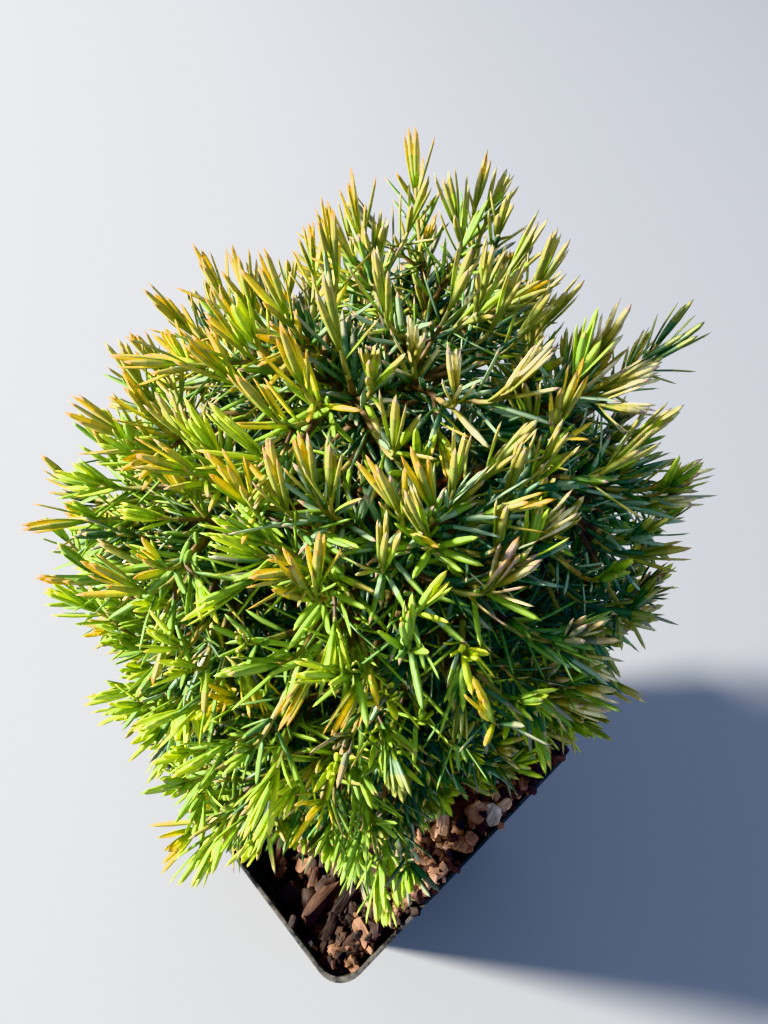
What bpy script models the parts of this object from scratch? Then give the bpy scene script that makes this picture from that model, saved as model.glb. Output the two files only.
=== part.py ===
"""A potted teddy arborvitae: a dwarf conifer with a dense, round crown in a square nursery pot.

The origin is at the middle of the pot's flat underside, +Z is up, and the pot's sides lie along X and Y.
The stem stands on the bark in the pot and leans a little towards +X and +Y, with the crown round it.
"""

import math

import bmesh
import bpy
from mathutils import Vector, noise

# Pot, in metres. The sides are measured over the outer faces of the square.
POT_HEIGHT = 0.095
POT_RIM_SIDE = 0.100
POT_BASE_SIDE = 0.074
POT_CORNER = 0.008
POT_WALL = 0.0011
POT_FLOOR = 0.0014
COLLAR_HEIGHT = 0.011
COLLAR_STEP = 0.0011
LIP_ROUNDING = 0.0004
FOOT_BEVEL = 0.0012
CORNER_STEPS = 5
DRAIN_HOLE_RADIUS = 0.0045
DRAIN_HOLE_SIDES = 16
DRAIN_HOLE_INSET = 0.014
DRAIN_SLOT = (0.015, 0.010, 0.0045)

# Bark mix in the pot
SUBSTRATE_DEPTH_BELOW_RIM = 0.012
SUBSTRATE_RELIEF = 0.0013
SUBSTRATE_LUMPS_PER_METRE = 90
SUBSTRATE_SHOULDER = 0.002
SUBSTRATE_SHOULDER_INSET = 0.001
SUBSTRATE_RINGS = (0.86, 0.66, 0.46, 0.27)
SEAT_GAP = 0.0003

# Stem
STEM_FOOT = Vector((0.0015, 0.0005, 0.0))
STEM_RADIUS = 0.0037
STEM_TIP_RADIUS = 0.0014
FLARE = 0.0030
FLARE_HEIGHT = 0.006
FLARE_LOBES = 5
FLARE_LOBE_SHARE = 0.25
STEM_STRAIGHT_LEAN = 0.55
STEM_CURVED_LEAN = 0.45
STEM_LEAN_ABOVE_CENTRE = 0.2
STEM_SIDES = 12
STEM_RINGS = 12
STEM_RING_CROWDING = 1.5

# Boughs
BOUGH_RADIUS = 0.00150
BOUGH_TIP_RADIUS = 0.00095
BOUGH_RISE = 0.75
BOUGH_STAGGER = 0.0042
BOUGH_PULL = 0.35
BOUGH_SIDES = 7
BOUGH_SEGMENTS = 4
LOWEST_BOUGH = 0.009

# Crown: a tall globe, fuller below the middle where it comes down to the bark.
# Its long tufts and hollows are each (azimuth, elevation, gain, spread).
CROWN_CENTRE = Vector((0.0138, 0.0077, 0.183))
CROWN_HALF_WIDTH = 0.0705
CROWN_HALF_HEIGHT = 0.0835
CROWN_FULLNESS_ABOVE = 2.0
CROWN_FULLNESS_BELOW = 2.9
CROWN_SKIRT = 0.090
CROWN_TUFTS = (
    (27, 60, 0.008, 20),
    (-28, 42, 0.011, 17),
    (-48, 24, 0.005, 18),
    (-131, -7, 0.009, 14),
    (-158, -3, 0.009, 12),
    (150, 22, 0.003, 18),
    (-92, -2, -0.006, 24),
    (-178, 0, -0.007, 15),
    (118, 37, -0.006, 22),
)
CROWN_UNEVENNESS = 0.0028
CROWN_UNEVENNESS_SIZE = 0.021

# Foliage masses in rings: (name, count, elevation, first azimuth)
MASS_RINGS = (
    ("top", 1, 88, 0),
    ("upper", 5, 46, 21),
    ("middle", 6, 6, -10),
    ("lower", 4, -37, 38),
)
MASS_DEPTH_SHARE = 0.70
MASS_GAP = 0.0006
MASS_ROUNDING = 6.5
MASS_SEGMENTS = 20
MASS_BANDS = 12
TOP_MASS_DROP = 0.035
SIDE_MASS_DROP = 0.02
EDGE_SEARCH_STEP = 0.004
EDGE_SEARCH_LIMIT = 0.2
EDGE_SEARCH_HALVINGS = 14
HOLLOW_RADIUS = {"top": 0.018, "upper": 0.021, "middle": 0.021, "lower": 0.013}
LOWEST_FOLIAGE = POT_HEIGHT + 0.0015
STEM_CLEARANCE = 0.0075
STEM_TOP = 0.224

# Degrees between two faces above which the edge stays sharp
POT_SMOOTH_ANGLE = 35
SUBSTRATE_SMOOTH_ANGLE = 50
PLANT_SMOOTH_ANGLE = 60


def clear_scene():
    for found in list(bpy.data.objects):
        bpy.data.objects.remove(found, do_unlink=True)


def plain_material(name, colour, roughness):
    made = bpy.data.materials.new(name)
    made.use_nodes = True
    shader = made.node_tree.nodes["Principled BSDF"]
    shader.inputs["Base Color"].default_value = (*colour, 1.0)
    shader.inputs["Roughness"].default_value = roughness
    return made


def moulded_polypropylene():
    return plain_material("moulded_polypropylene", (0.012, 0.012, 0.013), 0.55)


def composted_bark():
    return plain_material("composted_bark", (0.085, 0.045, 0.028), 0.95)


def stem_bark():
    return plain_material("stem_bark", (0.17, 0.085, 0.045), 0.85)


def foliage_green(height_share):
    """The sunlit upper masses are yellower than the lower ones."""
    green = Vector((0.055, 0.15, 0.02)).lerp(Vector((0.22, 0.26, 0.03)), height_share)
    return plain_material("foliage_green", tuple(green), 0.6)


def finish_object(name, mesh_data, material, smooth_angle=None):
    """Turns the closed bmesh into a named object with its faces outward and its own material."""
    if mesh_data.calc_volume(signed=True) < 0:
        bmesh.ops.reverse_faces(mesh_data, faces=mesh_data.faces)
    mesh = bpy.data.meshes.new(name)
    mesh_data.to_mesh(mesh)
    mesh_data.free()
    mesh.materials.append(material)
    if smooth_angle is not None:
        mesh.shade_smooth()
        mesh.set_sharp_from_angle(angle=math.radians(smooth_angle))
    made = bpy.data.objects.new(name, mesh)
    bpy.context.scene.collection.objects.link(made)
    return made


def close_loops(mesh_data, loops):
    """Bridges each closed loop of vertices to the next one and caps the first and the last."""
    for lower, upper in zip(loops, loops[1:]):
        count = len(lower)
        for i in range(count):
            j = (i + 1) % count
            mesh_data.faces.new((lower[i], lower[j], upper[j], upper[i]))
    mesh_data.faces.new(list(reversed(loops[0])))
    mesh_data.faces.new(loops[-1])


def rounded_square(side, corner, z):
    """Points of a square with round corners, anticlockwise from the +X side."""
    reach = side / 2 - corner
    points = []
    for quarter, (sx, sy) in enumerate(((1, 1), (-1, 1), (-1, -1), (1, -1))):
        for step in range(CORNER_STEPS + 1):
            angle = math.pi / 2 * (quarter + step / CORNER_STEPS)
            x = sx * reach + corner * math.cos(angle)
            y = sy * reach + corner * math.sin(angle)
            points.append(Vector((x, y, z)))
    return points


def pot_side_at(z):
    """Outer side of the tapered wall, without the collar, at height z."""
    wall_top_side = POT_RIM_SIDE - 2 * COLLAR_STEP
    return POT_BASE_SIDE + (wall_top_side - POT_BASE_SIDE) * z / POT_HEIGHT


def make_pot():
    """A thin moulded pot: tapered walls, a collar under the rim, and an open inside."""
    collar_z = POT_HEIGHT - COLLAR_HEIGHT
    outer = [
        (POT_BASE_SIDE - 2 * FOOT_BEVEL, 0.0),
        (pot_side_at(FOOT_BEVEL), FOOT_BEVEL),
        (pot_side_at(collar_z), collar_z),
        (POT_RIM_SIDE - 2 * LIP_ROUNDING, collar_z + COLLAR_STEP),
        (POT_RIM_SIDE, POT_HEIGHT - 3 * LIP_ROUNDING),
        (POT_RIM_SIDE - 2 * LIP_ROUNDING, POT_HEIGHT),
    ]
    inner = [
        (POT_RIM_SIDE - 2 * POT_WALL + 2 * LIP_ROUNDING, POT_HEIGHT),
        (POT_RIM_SIDE - 2 * POT_WALL, POT_HEIGHT - 3 * LIP_ROUNDING),
        (POT_RIM_SIDE - 2 * POT_WALL, collar_z + COLLAR_STEP + POT_WALL),
        (pot_side_at(collar_z) - 2 * POT_WALL, collar_z),
        (pot_side_at(POT_FLOOR) - 2 * POT_WALL, POT_FLOOR),
    ]
    mesh_data = bmesh.new()
    loops = []
    for side, z in outer + inner:
        ring = rounded_square(side, POT_CORNER * side / POT_RIM_SIDE, z)
        loops.append([mesh_data.verts.new(point) for point in ring])
    close_loops(mesh_data, loops)
    pot = finish_object("pot", mesh_data, moulded_polypropylene(), POT_SMOOTH_ANGLE)
    for number, cutter in enumerate(drain_cutters()):
        hole = pot.modifiers.new(f"drain_{number}", "BOOLEAN")
        hole.operation = "DIFFERENCE"
        hole.solver = "EXACT"
        hole.object = cutter
    return pot


def drain_cutters():
    """Round holes near the floor's corners, and a slot through the foot of each side."""
    cutters = []
    inset = POT_BASE_SIDE / 2 - DRAIN_HOLE_INSET
    for sx, sy in ((1, 1), (-1, 1), (-1, -1), (1, -1)):
        bore = bmesh.new()
        bmesh.ops.create_cone(
            bore,
            cap_ends=True,
            segments=DRAIN_HOLE_SIDES,
            radius1=DRAIN_HOLE_RADIUS,
            radius2=DRAIN_HOLE_RADIUS,
            depth=4 * POT_FLOOR,
        )
        bmesh.ops.translate(bore, verts=bore.verts, vec=(sx * inset, sy * inset, 0))
        cutters.append(finish_object("drain_bore", bore, moulded_polypropylene()))
    width, depth, height = DRAIN_SLOT
    for quarter in range(4):
        slot = bmesh.new()
        bmesh.ops.create_cube(slot, size=1.0)
        bmesh.ops.scale(slot, verts=slot.verts, vec=(depth, width, 2 * height))
        bmesh.ops.translate(slot, verts=slot.verts, vec=(POT_BASE_SIDE / 2, 0, 0))
        cutter = finish_object("drain_slot", slot, moulded_polypropylene())
        cutter.rotation_euler.z = quarter * math.pi / 2
        cutters.append(cutter)
    for cutter in cutters:
        cutter.hide_render = True
        cutter.display_type = "WIRE"
    return cutters


def substrate_top():
    return POT_HEIGHT - SUBSTRATE_DEPTH_BELOW_RIM


def make_substrate():
    """The bark mix that fills the pot, level round the stem and rough elsewhere."""
    top = substrate_top()
    clearance = 2 * (POT_WALL + SEAT_GAP)
    floor = POT_FLOOR + SEAT_GAP
    mesh_data = bmesh.new()
    loops = []
    for z in (floor, top - SUBSTRATE_SHOULDER):
        side = pot_side_at(z) - clearance
        ring = rounded_square(side, POT_CORNER * side / POT_RIM_SIDE, z)
        loops.append([mesh_data.verts.new(point) for point in ring])
    edge_side = pot_side_at(top) - clearance - SUBSTRATE_SHOULDER_INSET
    for share in SUBSTRATE_RINGS:
        ring = rounded_square(edge_side * share, POT_CORNER * share, top)
        rough = SUBSTRATE_RELIEF if share > SUBSTRATE_RINGS[-1] else 0
        for point in ring:
            point.z += rough * noise.noise(point * SUBSTRATE_LUMPS_PER_METRE)
        loops.append([mesh_data.verts.new(point) for point in ring])
    close_loops(mesh_data, loops)
    return finish_object("substrate", mesh_data, composted_bark(), SUBSTRATE_SMOOTH_ANGLE)


def tube(points, radii, first_normal, last_normal, sides, outline=None):
    """A closed tapering limb along the points, its two ends cut square to the given normals."""
    mesh_data = bmesh.new()
    loops = []
    side_way = Vector((1, 0, 0))
    for i, point in enumerate(points):
        ahead = points[min(i + 1, len(points) - 1)]
        behind = points[max(i - 1, 0)]
        along = (ahead - behind).normalized()
        side_way = (side_way - along * side_way.dot(along)).normalized()
        across = along.cross(side_way)
        loop = []
        for step in range(sides):
            angle = 2 * math.pi * step / sides
            reach = radii[i] + (outline(i, angle) if outline else 0)
            place = point + reach * (math.cos(angle) * side_way + math.sin(angle) * across)
            cut = first_normal if i == 0 else last_normal if i == len(points) - 1 else None
            if cut is not None:
                place += along * ((point - place).dot(cut) / along.dot(cut))
            loop.append(mesh_data.verts.new(place))
        loops.append(loop)
    close_loops(mesh_data, loops)
    return mesh_data


def curve_points(start, start_pull, end, end_pull, count):
    """Points of a cubic Bezier curve from start to end."""
    points = []
    for i in range(count):
        t = i / (count - 1)
        s = 1 - t
        points.append(
            start * s**3
            + (start + start_pull) * 3 * s * s * t
            + (end - end_pull) * 3 * s * t * t
            + end * t**3
        )
    return points


def direction(azimuth, elevation):
    flat = math.cos(math.radians(elevation))
    return Vector(
        (
            flat * math.cos(math.radians(azimuth)),
            flat * math.sin(math.radians(azimuth)),
            math.sin(math.radians(elevation)),
        )
    )


def crown_reach(way):
    """How far the tips of the foliage lie from the crown's centre along a unit vector."""
    power = CROWN_FULLNESS_ABOVE if way.z > 0 else CROWN_FULLNESS_BELOW
    half_height = CROWN_HALF_HEIGHT if way.z > 0 else CROWN_SKIRT
    flat = (math.hypot(way.x, way.y) / CROWN_HALF_WIDTH) ** power
    reach = (flat + (abs(way.z) / half_height) ** power) ** (-1 / power)
    for azimuth, elevation, gain, spread in CROWN_TUFTS:
        away = math.degrees(way.angle(direction(azimuth, elevation)))
        reach += gain * math.exp(-((away / spread) ** 2))
    uneven = noise.noise(way * (CROWN_HALF_WIDTH / CROWN_UNEVENNESS_SIZE))
    return reach + CROWN_UNEVENNESS * uneven


def inside_crown(point):
    """True for a point within the crown's outline that also keeps clear of the stem."""
    away = point - CROWN_CENTRE
    within_outline = away.length < crown_reach(away.normalized())
    from_stem = (point - stem_point(point.z)).length
    clear = point.z > STEM_TOP or from_stem > STEM_CLEARANCE
    return within_outline and point.z > LOWEST_FOLIAGE and clear


def stem_point(z):
    """The stem's centre line: it leaves the bark upright and leans over to the crown's centre."""
    foot_z = substrate_top()
    rise = CROWN_CENTRE.z - foot_z
    share = (z - foot_z) / rise
    lean = STEM_STRAIGHT_LEAN * share + STEM_CURVED_LEAN * share * share
    if share > 1:
        lean = 1 + STEM_LEAN_ABOVE_CENTRE * (share - 1)
    x = STEM_FOOT.x + (CROWN_CENTRE.x - STEM_FOOT.x) * lean
    y = STEM_FOOT.y + (CROWN_CENTRE.y - STEM_FOOT.y) * lean
    return Vector((x, y, z))


def stem_radius(z, top_z):
    share = (z - substrate_top()) / (top_z - substrate_top())
    taper = STEM_RADIUS + (STEM_TIP_RADIUS - STEM_RADIUS) * share
    return taper + FLARE * math.exp(-(z - substrate_top()) / FLARE_HEIGHT)


def mass_seeds():
    """Name, ring, seed point, outward way and hollow plane of each foliage mass."""
    seeds = []
    for ring, count, elevation, first in MASS_RINGS:
        for number in range(count):
            azimuth = first + 360 * number / count
            way = direction(azimuth, elevation)
            seed = CROWN_CENTRE + way * crown_reach(way) * MASS_DEPTH_SHARE
            if ring == "top":
                axis_point = stem_point(seed.z - TOP_MASS_DROP)
            else:
                drop = SIDE_MASS_DROP * math.sin(math.radians(elevation))
                axis_point = stem_point(seed.z - drop)
            outward = (seed - axis_point).normalized()
            name = "foliage_" + (ring if count == 1 else f"{ring}_{number + 1}")
            entry = axis_point + outward * HOLLOW_RADIUS[ring]
            seeds.append((name, ring, seed, outward, entry))
    return seeds


def distance_to_crown_edge(seed, way):
    """The first place along the ray where it leaves the crown."""
    low, high = 0.0, EDGE_SEARCH_STEP
    while inside_crown(seed + way * high) and high < EDGE_SEARCH_LIMIT:
        low, high = high, high + EDGE_SEARCH_STEP
    for _ in range(EDGE_SEARCH_HALVINGS):
        middle = (low + high) / 2
        if inside_crown(seed + way * middle):
            low = middle
        else:
            high = middle
    return low


def mass_reach(index, way, seeds):
    """How far mass number index extends from its seed, rounded where two limits meet."""
    _, _, seed, outward, entry = seeds[index]
    limits = [distance_to_crown_edge(seed, way)]
    inward = -way.dot(outward)
    if inward > 1e-6:
        limits.append((seed - entry).dot(outward) / inward)
    for other, found in enumerate(seeds):
        if other == index:
            continue
        apart = found[2] - seed
        forward = way.dot(apart.normalized())
        if forward > 1e-6:
            limits.append((apart.length - MASS_GAP) / 2 / forward)
    return sum(limit**-MASS_ROUNDING for limit in limits) ** (-1 / MASS_ROUNDING)


def make_mass(index, seeds):
    """One closed mass of foliage: a globe grown outwards from its seed to its limits."""
    name, _, seed, outward, _ = seeds[index]
    mesh_data = bmesh.new()
    bmesh.ops.create_uvsphere(
        mesh_data, u_segments=MASS_SEGMENTS, v_segments=MASS_BANDS, radius=1.0
    )
    turn = outward.to_track_quat("Z", "Y")
    for vert in mesh_data.verts:
        way = (turn @ vert.co).normalized()
        vert.co = seed + way * mass_reach(index, way, seeds)
    height_share = min(1.0, (seed.z - POT_HEIGHT) / (2 * CROWN_HALF_HEIGHT))
    return finish_object(name, mesh_data, foliage_green(height_share), PLANT_SMOOTH_ANGLE)


def mass_foot(index, seeds):
    """Where the bough meets the mass: just short of the mass's inner face."""
    _, _, seed, outward, _ = seeds[index]
    return seed - outward * (mass_reach(index, -outward, seeds) + SEAT_GAP)


def make_stem(top, top_normal):
    """The stem from its flat cut on the bark, with a lobed flare, to the top mass."""
    foot_z = substrate_top() + SEAT_GAP
    points = []
    for i in range(STEM_RINGS):
        share = i / (STEM_RINGS - 1)
        points.append(stem_point(foot_z + (top.z - foot_z) * share**STEM_RING_CROWDING))
    points[-1] = top
    radii = [stem_radius(point.z, top.z) for point in points]

    def root_lobes(i, angle):
        swell = math.exp(-(points[i].z - foot_z) / FLARE_HEIGHT)
        return FLARE_LOBE_SHARE * FLARE * swell * math.cos(FLARE_LOBES * angle)

    mesh_data = tube(points, radii, Vector((0, 0, 1)), top_normal, STEM_SIDES, root_lobes)
    return finish_object("stem", mesh_data, stem_bark(), PLANT_SMOOTH_ANGLE)


def make_bough(number, foot, outward, stem_top_z):
    """One tapering bough that rises from the stem's side to the inner face of its mass."""
    flat_distance = (foot - stem_point(foot.z)).to_2d().length
    stagger = BOUGH_STAGGER * (number % 3 - 1)
    start_z = foot.z - BOUGH_RISE * flat_distance + stagger
    start_z = max(start_z, substrate_top() + LOWEST_BOUGH + 0.5 * (BOUGH_STAGGER + stagger))
    axis = stem_point(start_z)
    sideways = (foot - axis).to_2d().normalized()
    sideways = Vector((sideways.x, sideways.y, 0))
    start = axis + sideways * (stem_radius(start_z, stem_top_z) + SEAT_GAP)
    span = (foot - start).length
    pull = span * BOUGH_PULL
    points = curve_points(start, sideways * pull, foot, outward * pull, BOUGH_SEGMENTS + 1)
    radii = []
    for i in range(BOUGH_SEGMENTS + 1):
        share = i / BOUGH_SEGMENTS
        radii.append(BOUGH_RADIUS + (BOUGH_TIP_RADIUS - BOUGH_RADIUS) * share)
    mesh_data = tube(points, radii, sideways, outward, BOUGH_SIDES)
    return finish_object(f"bough_{number + 1:02d}", mesh_data, stem_bark(), PLANT_SMOOTH_ANGLE)


def main():
    clear_scene()
    make_pot()
    make_substrate()
    seeds = mass_seeds()
    for index in range(len(seeds)):
        make_mass(index, seeds)
    stem_top = mass_foot(0, seeds)
    make_stem(stem_top, seeds[0][3])
    for index in range(1, len(seeds)):
        make_bough(index - 1, mass_foot(index, seeds), seeds[index][3], stem_top.z)


main()
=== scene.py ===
import math

import bmesh
import bpy
import numpy as np
from mathutils import Matrix, Vector, noise


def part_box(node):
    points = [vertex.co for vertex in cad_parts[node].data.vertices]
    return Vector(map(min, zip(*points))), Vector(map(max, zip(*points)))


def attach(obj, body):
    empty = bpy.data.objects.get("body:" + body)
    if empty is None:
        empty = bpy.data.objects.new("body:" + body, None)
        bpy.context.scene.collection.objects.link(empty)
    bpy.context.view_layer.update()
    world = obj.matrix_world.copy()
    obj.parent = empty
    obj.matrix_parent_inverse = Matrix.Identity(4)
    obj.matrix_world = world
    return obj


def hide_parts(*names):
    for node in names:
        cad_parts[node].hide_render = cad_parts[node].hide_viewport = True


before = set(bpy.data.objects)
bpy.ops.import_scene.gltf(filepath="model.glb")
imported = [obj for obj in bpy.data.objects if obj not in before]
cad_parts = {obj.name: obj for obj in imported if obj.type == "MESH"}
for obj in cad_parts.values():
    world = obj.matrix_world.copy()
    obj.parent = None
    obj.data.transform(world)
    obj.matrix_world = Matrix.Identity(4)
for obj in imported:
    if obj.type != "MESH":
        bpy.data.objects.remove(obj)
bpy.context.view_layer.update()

# Metres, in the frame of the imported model: +Z up, the origin in the middle of the pot's underside.
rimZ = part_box("pot")[1].z
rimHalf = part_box("pot")[1].x
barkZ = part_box("stem")[0].z
foliageNodes = sorted(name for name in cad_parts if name.startswith("foliage_"))
boughNodes = sorted(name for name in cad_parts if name.startswith("bough_"))


def placesOf(piece):
    return np.array([vertex.co[:] for vertex in piece.data.vertices])


def linear(hexColour):
    # sRGB hex to the linear values that shaders and lights take
    channels = [int(hexColour[i:i + 2], 16) / 255 for i in (1, 3, 5)]
    curved = [c / 12.92 if c <= 0.04045 else ((c + 0.055) / 1.055) ** 2.4 for c in channels]
    return (*curved, 1.0)


def newMaterial(name, colour, roughness):
    made = bpy.data.materials.new(name)
    made.use_nodes = True
    shader = made.node_tree.nodes["Principled BSDF"]
    shader.inputs["Base Color"].default_value = linear(colour)
    shader.inputs["Roughness"].default_value = roughness
    return made


def addNode(material, kind, settings, links):
    # a link's value is a number, a colour, or a node and its output
    node = material.node_tree.nodes.new(kind)
    for key, value in settings.items():
        setattr(node, key, value)
    for socket, value in links.items():
        if isinstance(value, tuple) and hasattr(value[0], "outputs"):
            material.node_tree.links.new(value[0].outputs[value[1]], node.inputs[socket])
        else:
            node.inputs[socket].default_value = value
    return node


def joinToShader(material, node, output, socket):
    shader = material.node_tree.nodes["Principled BSDF"]
    material.node_tree.links.new(node.outputs[output], shader.inputs[socket])


def objectPlace(material):
    return (addNode(material, "ShaderNodeTexCoord", {}, {}), "Object")


def addNoise(material, place, size, detail, roughness):
    # size in metres
    return addNode(material, "ShaderNodeTexNoise", {}, {
        "Vector": place, "Scale": 1 / size, "Detail": detail, "Roughness": roughness})


def addMath(material, operation, first, second):
    return addNode(material, "ShaderNodeMath", {"operation": operation}, {0: first, 1: second})


def addRange(material, value, fromMin, fromMax, toMin, toMax):
    return addNode(material, "ShaderNodeMapRange", {}, {
        "Value": value, "From Min": fromMin, "From Max": fromMax, "To Min": toMin, "To Max": toMax})


def addRamp(material, value, stops):
    # stops: position and colour, from left to right
    node = addNode(material, "ShaderNodeValToRGB", {}, {"Fac": value})
    elements = node.color_ramp.elements
    while len(elements) < len(stops):
        elements.new(0.5)
    for element, (place, colour) in zip(elements, stops):
        element.position = place
        element.color = linear(colour)
    return node


def addRelief(material, height, strength, distance):
    bump = addNode(material, "ShaderNodeBump", {}, {
        "Height": height, "Strength": strength, "Distance": distance})
    joinToShader(material, bump, "Normal", "Normal")


def setMaterial(piece, material):
    piece.data.materials.clear()
    piece.data.materials.append(material)


def selectOnly(*objects):
    bpy.ops.object.select_all(action="DESELECT")
    for each in objects:
        each.select_set(True)
    bpy.context.view_layer.objects.active = objects[0]


def selectWhere(kind, test):
    # in edit mode: selects the faces or edges that pass the test
    bpy.ops.mesh.select_all(action="DESELECT")
    bpy.ops.mesh.select_mode(type=kind)
    mesh = bmesh.from_edit_mesh(bpy.context.object.data)
    for each in mesh.faces if kind == "FACE" else mesh.edges:
        each.select_set(bool(test(each)))
    bmesh.update_edit_mesh(bpy.context.object.data)


def facesUp(face):
    return face.normal.z > 0.9


def edgeRise(edge):
    return abs(edge.verts[0].co.z - edge.verts[1].co.z)


def addBlock(name, place, scale):
    bpy.ops.mesh.primitive_cube_add(size=1, location=place, scale=scale)
    made = bpy.context.object
    made.name = name
    bpy.ops.object.transform_apply(location=True, rotation=True, scale=True)
    return made


def addObject(name, data):
    made = bpy.data.objects.new(name, data)
    bpy.context.scene.collection.objects.link(made)
    return made


def addModifier(piece, kind, **settings):
    modifier = piece.modifiers.new(kind.lower(), kind)
    for key, value in settings.items():
        setattr(modifier, key, value)


def applyModifiers(piece):
    selectOnly(piece)
    for modifier in list(piece.modifiers):
        bpy.ops.object.modifier_apply(modifier=modifier.name)


def unit(vectors):
    vectors = np.asarray(vectors, float)
    return vectors / np.maximum(np.linalg.norm(vectors, axis=-1, keepdims=True), 1e-12)


def meshFrom(name, coords, quads, tris, slots, materials):
    mesh = bpy.data.meshes.new(name)
    mesh.vertices.add(len(coords))
    mesh.vertices.foreach_set("co", coords.astype(np.float32).ravel())
    loops = np.concatenate([quads.ravel(), tris.ravel()])
    mesh.loops.add(len(loops))
    mesh.loops.foreach_set("vertex_index", loops.astype(np.int32))
    starts = np.concatenate([np.arange(len(quads)) * 4, len(quads) * 4 + np.arange(len(tris)) * 3])
    mesh.polygons.add(len(starts))
    mesh.polygons.foreach_set("loop_start", starts.astype(np.int32))
    for material in materials:
        mesh.materials.append(material)
    mesh.polygons.foreach_set("material_index", np.asarray(slots, np.int32))
    mesh.update(calc_edges=True)
    mesh.validate()
    mesh.shade_smooth()
    return addObject(name, mesh)


camera = {
    "place": (-0.0459, -0.0637, 0.3381),    # solved from the pot's rim in the photograph
    "yaw": 42.5,
    "pitch": 56.0,
    "lens": 27.04,
    "sensor": 36,
    "picture": (768, 1024),
}

cameraData = bpy.data.cameras.new("photoCamera")
cameraData.lens = camera["lens"]
cameraData.sensor_width = camera["sensor"]
cameraData.clip_start = 0.005
photoCamera = addObject("photoCamera", cameraData)
photoCamera.location = camera["place"]
photoCamera.rotation_euler = (math.radians(90 - camera["pitch"]), 0, math.radians(-camera["yaw"]))
bpy.context.scene.camera = photoCamera

yaw, pitch = math.radians(camera["yaw"]), math.radians(camera["pitch"])
viewRight = np.array((math.cos(yaw), -math.sin(yaw), 0))
viewAhead = np.array((math.sin(yaw) * math.cos(pitch), math.cos(yaw) * math.cos(pitch), -math.sin(pitch)))
viewUp = np.cross(viewRight, viewAhead)
cameraPlace = np.array(camera["place"])
focal = camera["picture"][1] * camera["lens"] / camera["sensor"]    # in pixels
middleX, middleY = camera["picture"][0] / 2, camera["picture"][1] / 2


def pixelOf(place):
    away = place - cameraPlace
    depth = away @ viewAhead
    x, y = focal * (away @ viewRight) / depth, focal * (away @ viewUp) / depth
    return np.array((middleX + x, middleY - y))


def sightThrough(x, y):
    return unit(viewAhead + viewRight * (x - middleX) / focal + viewUp * (middleY - y) / focal)


print("camera set")


# pot: thin injection-moulded polypropylene
pot = {
    "baseSide": 0.074,
    "wallTopSide": 0.0978,
    "height": 0.095,
    "corner": 0.0075,
    "wall": 0.0011,
    "collarHeight": 0.011,
    "collarStep": 0.0011,
    "collarRound": 0.0006,
    "floor": 0.0014,
    "lip": 0.0004,
    "footWidth": 0.005,
    "footHeight": 0.0009,
    "drainRadius": 0.0045,
    "drainInset": 0.014,
    "slot": (0.015, 0.010, 0.0045),
    "black": "#141517",
    "dust": "#78736A",
}


def mouldedPolypropylene(s):
    # black, with a fine eggshell from the mould and pale peat dust dried on the collar and lip
    made = newMaterial("moulded_polypropylene", s["black"], 0.42)
    place = objectPlace(made)
    mottle = addNoise(made, place, 0.018, 5.0, 0.6)
    height = addNode(made, "ShaderNodeSeparateXYZ", {}, {"Vector": place})
    rise = addRange(made, (height, "Z"), s["height"] - 0.012, s["height"], 0.05, 0.85)
    foot = addRange(made, (height, "Z"), 0.0, 0.014, 0.45, 0.0)
    both = addMath(made, "MAXIMUM", (rise, "Result"), (foot, "Result"))
    specks = addNoise(made, place, 0.0022, 6.0, 0.7)
    patches = addMath(made, "MULTIPLY", (mottle, "Fac"), (specks, "Fac"))
    dust = addRange(made, (patches, 0), 0.18, 0.42, 0.0, 1.0)
    amount = addMath(made, "MULTIPLY", (dust, "Result"), (both, 0))
    colour = addNode(made, "ShaderNodeMix", {"data_type": "RGBA"}, {
        0: (amount, 0), 6: linear(s["black"]), 7: linear(s["dust"])})
    joinToShader(made, colour, 2, "Base Color")
    gloss = addRange(made, (amount, 0), 0.0, 0.5, 0.36, 0.8)
    joinToShader(made, gloss, "Result", "Roughness")
    grain = addNoise(made, place, 0.0007, 2.0, 0.5)
    addRelief(made, (grain, "Fac"), 0.12, 0.0002)
    return made


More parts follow.
